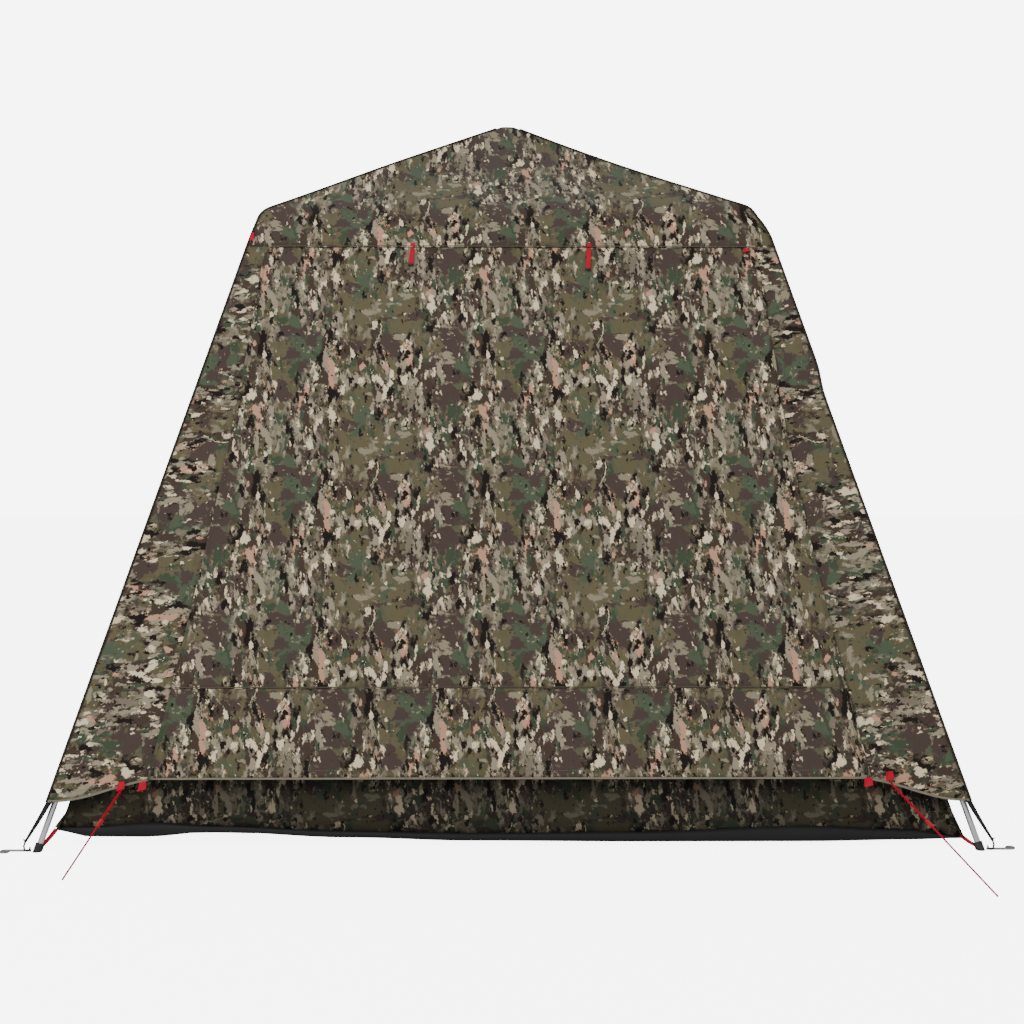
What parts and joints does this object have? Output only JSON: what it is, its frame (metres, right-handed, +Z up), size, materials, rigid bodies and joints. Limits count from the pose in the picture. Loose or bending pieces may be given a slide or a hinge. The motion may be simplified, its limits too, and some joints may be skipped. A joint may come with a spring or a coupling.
{
  "type": "pop up ground blind",
  "caption": "Square camouflage pop-up hub tent used as a ground blind: folding umbrella frame with telescoping legs, outer fly with a swing-up door, inner tent and floor.",
  "frame": {"origin": "on the ground under the hub, at the middle of the footprint", "axes": "+Z up, the door faces -Y, +X to the right as seen from the front"},
  "size_m": [2.6622, 2.917, 2.1949],
  "materials": {
    "fly_cloth": "camouflage-printed coated polyester, soft satin",
    "inner_cloth": "camouflage-printed thin polyester",
    "floor_cloth": "black coated groundsheet",
    "tube_metal": "bright drawn tube",
    "black_plastic": "moulded black nylon",
    "pin_metal": "rivet",
    "elastic": "black elastic webbing with a moulded hook",
    "peg_metal": "dark steel wire",
    "red_cord": "red braided cord and tape",
    "red_plastic": "moulded red nylon"
  },
  "bodies": {
    "ground_set": {"fly_wall_right": "fly_cloth", "fly_wall_back": "fly_cloth", "fly_wall_left": "fly_cloth", "fly_eave_band": "fly_cloth", "fly_gusset_left": "fly_cloth", "fly_gusset_right": "fly_cloth", "fly_roof_front": "fly_cloth", "fly_roof_right": "fly_cloth", "fly_roof_back": "fly_cloth", "fly_roof_left": "fly_cloth", "inner_wall_front": "inner_cloth", "inner_wall_right": "inner_cloth", "inner_wall_back": "inner_cloth", "inner_wall_left": "inner_cloth", "inner_roof": "inner_cloth", "floor_sheet": "floor_cloth", "corner_strap_back_right": "elastic", "corner_strap_back_left": "elastic", "corner_strap_front_left": "elastic", "corner_strap_front_right": "elastic", "corner_peg_back_right": "peg_metal", "corner_peg_back_left": "peg_metal", "corner_peg_front_left": "peg_metal", "corner_peg_front_right": "peg_metal", "guy_line_left": "red_cord", "guy_line_right": "red_cord"},
    "door": {"fly_door": "fly_cloth"},
    "hub": {"hub_body": "black_plastic", "hub_pin_back_right": "pin_metal", "hub_pin_back_left": "pin_metal", "hub_pin_front_left": "pin_metal", "hub_pin_front_right": "pin_metal"},
    "arm_back_right": {"roof_arm_back_right": "tube_metal", "elbow_back_right": "black_plastic", "elbow_pin_back_right": "pin_metal"},
    "leg_back_right": {"upper_leg_back_right": "tube_metal"},
    "leg_end_back_right": {"lower_leg_back_right": "tube_metal", "foot_back_right": "black_plastic"},
    "arm_back_left": {"roof_arm_back_left": "tube_metal", "elbow_back_left": "black_plastic", "elbow_pin_back_left": "pin_metal"},
    "leg_back_left": {"upper_leg_back_left": "tube_metal"},
    "leg_end_back_left": {"lower_leg_back_left": "tube_metal", "foot_back_left": "black_plastic"},
    "arm_front_left": {"roof_arm_front_left": "tube_metal", "elbow_front_left": "black_plastic", "elbow_pin_front_left": "pin_metal"},
    "leg_front_left": {"upper_leg_front_left": "tube_metal"},
    "leg_end_front_left": {"lower_leg_front_left": "tube_metal", "foot_front_left": "black_plastic"},
    "arm_front_right": {"roof_arm_front_right": "tube_metal", "elbow_front_right": "black_plastic", "elbow_pin_front_right": "pin_metal"},
    "leg_front_right": {"upper_leg_front_right": "tube_metal"},
    "leg_end_front_right": {"lower_leg_front_right": "tube_metal", "foot_front_right": "black_plastic"},
    "zip_left": {"zip_pull_left": "red_cord"},
    "runner_left": {"guy_runner_left": "red_plastic"},
    "zip_right": {"zip_pull_right": "red_cord"},
    "runner_right": {"guy_runner_right": "red_plastic"}
  },
  "joints": [
    {"name": "hub_slide", "type": "slide", "parent": "ground_set", "child": "hub", "axis": [0, 0, 1], "range_m": [-1.265, 0], "deforming": ["fly_wall_right", "fly_wall_back", "fly_wall_left", "fly_eave_band", "fly_gusset_left", "fly_gusset_right", "fly_roof_front", "fly_roof_right", "fly_roof_back", "fly_roof_left", "inner_wall_front", "inner_wall_right", "inner_wall_back", "inner_wall_left", "inner_roof", "floor_sheet", "corner_strap_back_right", "corner_strap_back_left", "corner_strap_front_left", "corner_strap_front_right", "fly_door"]},
    {"name": "arm_fold_back_right", "type": "hinge", "parent": "hub", "child": "arm_back_right", "pos_m": [0.03889, 0.03889, 2.13], "axis": [0.7071, -0.7071, 0], "range_deg": [0, 108.6]},
    {"name": "leg_fold_back_right", "type": "hinge", "parent": "arm_back_right", "child": "leg_back_right", "pos_m": [0.71064, 0.71064, 1.738], "axis": [0.7071, -0.7071, 0], "range_deg": [-131.3, 0]},
    {"name": "leg_telescope_back_right", "type": "slide", "parent": "leg_back_right", "child": "leg_end_back_right", "axis": [-0.2728, -0.2728, 0.9226], "range_m": [0, 0.7]},
    {"name": "arm_fold_back_left", "type": "hinge", "parent": "hub", "child": "arm_back_left", "pos_m": [-0.03889, 0.03889, 2.13], "axis": [0.7071, 0.7071, 0], "range_deg": [0, 108.6]},
    {"name": "leg_fold_back_left", "type": "hinge", "parent": "arm_back_left", "child": "leg_back_left", "pos_m": [-0.71064, 0.71064, 1.738], "axis": [0.7071, 0.7071, 0], "range_deg": [-131.3, 0]},
    {"name": "leg_telescope_back_left", "type": "slide", "parent": "leg_back_left", "child": "leg_end_back_left", "axis": [0.2728, -0.2728, 0.9226], "range_m": [0, 0.7]},
    {"name": "arm_fold_front_left", "type": "hinge", "parent": "hub", "child": "arm_front_left", "pos_m": [-0.03889, -0.03889, 2.13], "axis": [-0.7071, 0.7071, 0], "range_deg": [0, 108.6]},
    {"name": "leg_fold_front_left", "type": "hinge", "parent": "arm_front_left", "child": "leg_front_left", "pos_m": [-0.71064, -0.71064, 1.738], "axis": [-0.7071, 0.7071, 0], "range_deg": [-131.3, 0]},
    {"name": "leg_telescope_front_left", "type": "slide", "parent": "leg_front_left", "child": "leg_end_front_left", "axis": [0.2728, 0.2728, 0.9226], "range_m": [0, 0.7]},
    {"name": "arm_fold_front_right", "type": "hinge", "parent": "hub", "child": "arm_front_right", "pos_m": [0.03889, -0.03889, 2.13], "axis": [-0.7071, -0.7071, 0], "range_deg": [0, 108.6]},
    {"name": "leg_fold_front_right", "type": "hinge", "parent": "arm_front_right", "child": "leg_front_right", "pos_m": [0.71064, -0.71064, 1.738], "axis": [-0.7071, -0.7071, 0], "range_deg": [-131.3, 0]},
    {"name": "leg_telescope_front_right", "type": "slide", "parent": "leg_front_right", "child": "leg_end_front_right", "axis": [-0.2728, 0.2728, 0.9226], "range_m": [0, 0.7]},
    {"name": "door_swing", "type": "hinge", "parent": "ground_set", "child": "door", "pos_m": [0, -0.76639, 1.652], "axis": [-1, 0, 0], "range_deg": [0, 110]},
    {"name": "zip_slide_left", "type": "slide", "parent": "ground_set", "child": "zip_left", "axis": [0.1576, 0.2793, 0.9472], "range_m": [0, 1.45]},
    {"name": "zip_slide_right", "type": "slide", "parent": "ground_set", "child": "zip_right", "axis": [-0.1576, 0.2793, 0.9472], "range_m": [0, 1.45]},
    {"name": "runner_slide_left", "type": "slide", "parent": "ground_set", "child": "runner_left", "axis": [-0.2147, -0.8493, -0.4822], "range_m": [-0.08, 0.08]},
    {"name": "runner_slide_right", "type": "slide", "parent": "ground_set", "child": "runner_right", "axis": [0.2794, -0.8887, -0.3635], "range_m": [-0.12, 0.11]}
  ],
  "couplings": [
    {"joint": "arm_fold_back_right", "follows": "hub_slide", "rad_per_m": -1.4978},
    {"joint": "leg_fold_back_right", "follows": "hub_slide", "rad_per_m": 1.8108},
    {"joint": "arm_fold_back_left", "follows": "hub_slide", "rad_per_m": -1.4978},
    {"joint": "leg_fold_back_left", "follows": "hub_slide", "rad_per_m": 1.8108},
    {"joint": "arm_fold_front_left", "follows": "hub_slide", "rad_per_m": -1.4978},
    {"joint": "leg_fold_front_left", "follows": "hub_slide", "rad_per_m": 1.8108},
    {"joint": "arm_fold_front_right", "follows": "hub_slide", "rad_per_m": -1.4978},
    {"joint": "leg_fold_front_right", "follows": "hub_slide", "rad_per_m": 1.8108}
  ]
}
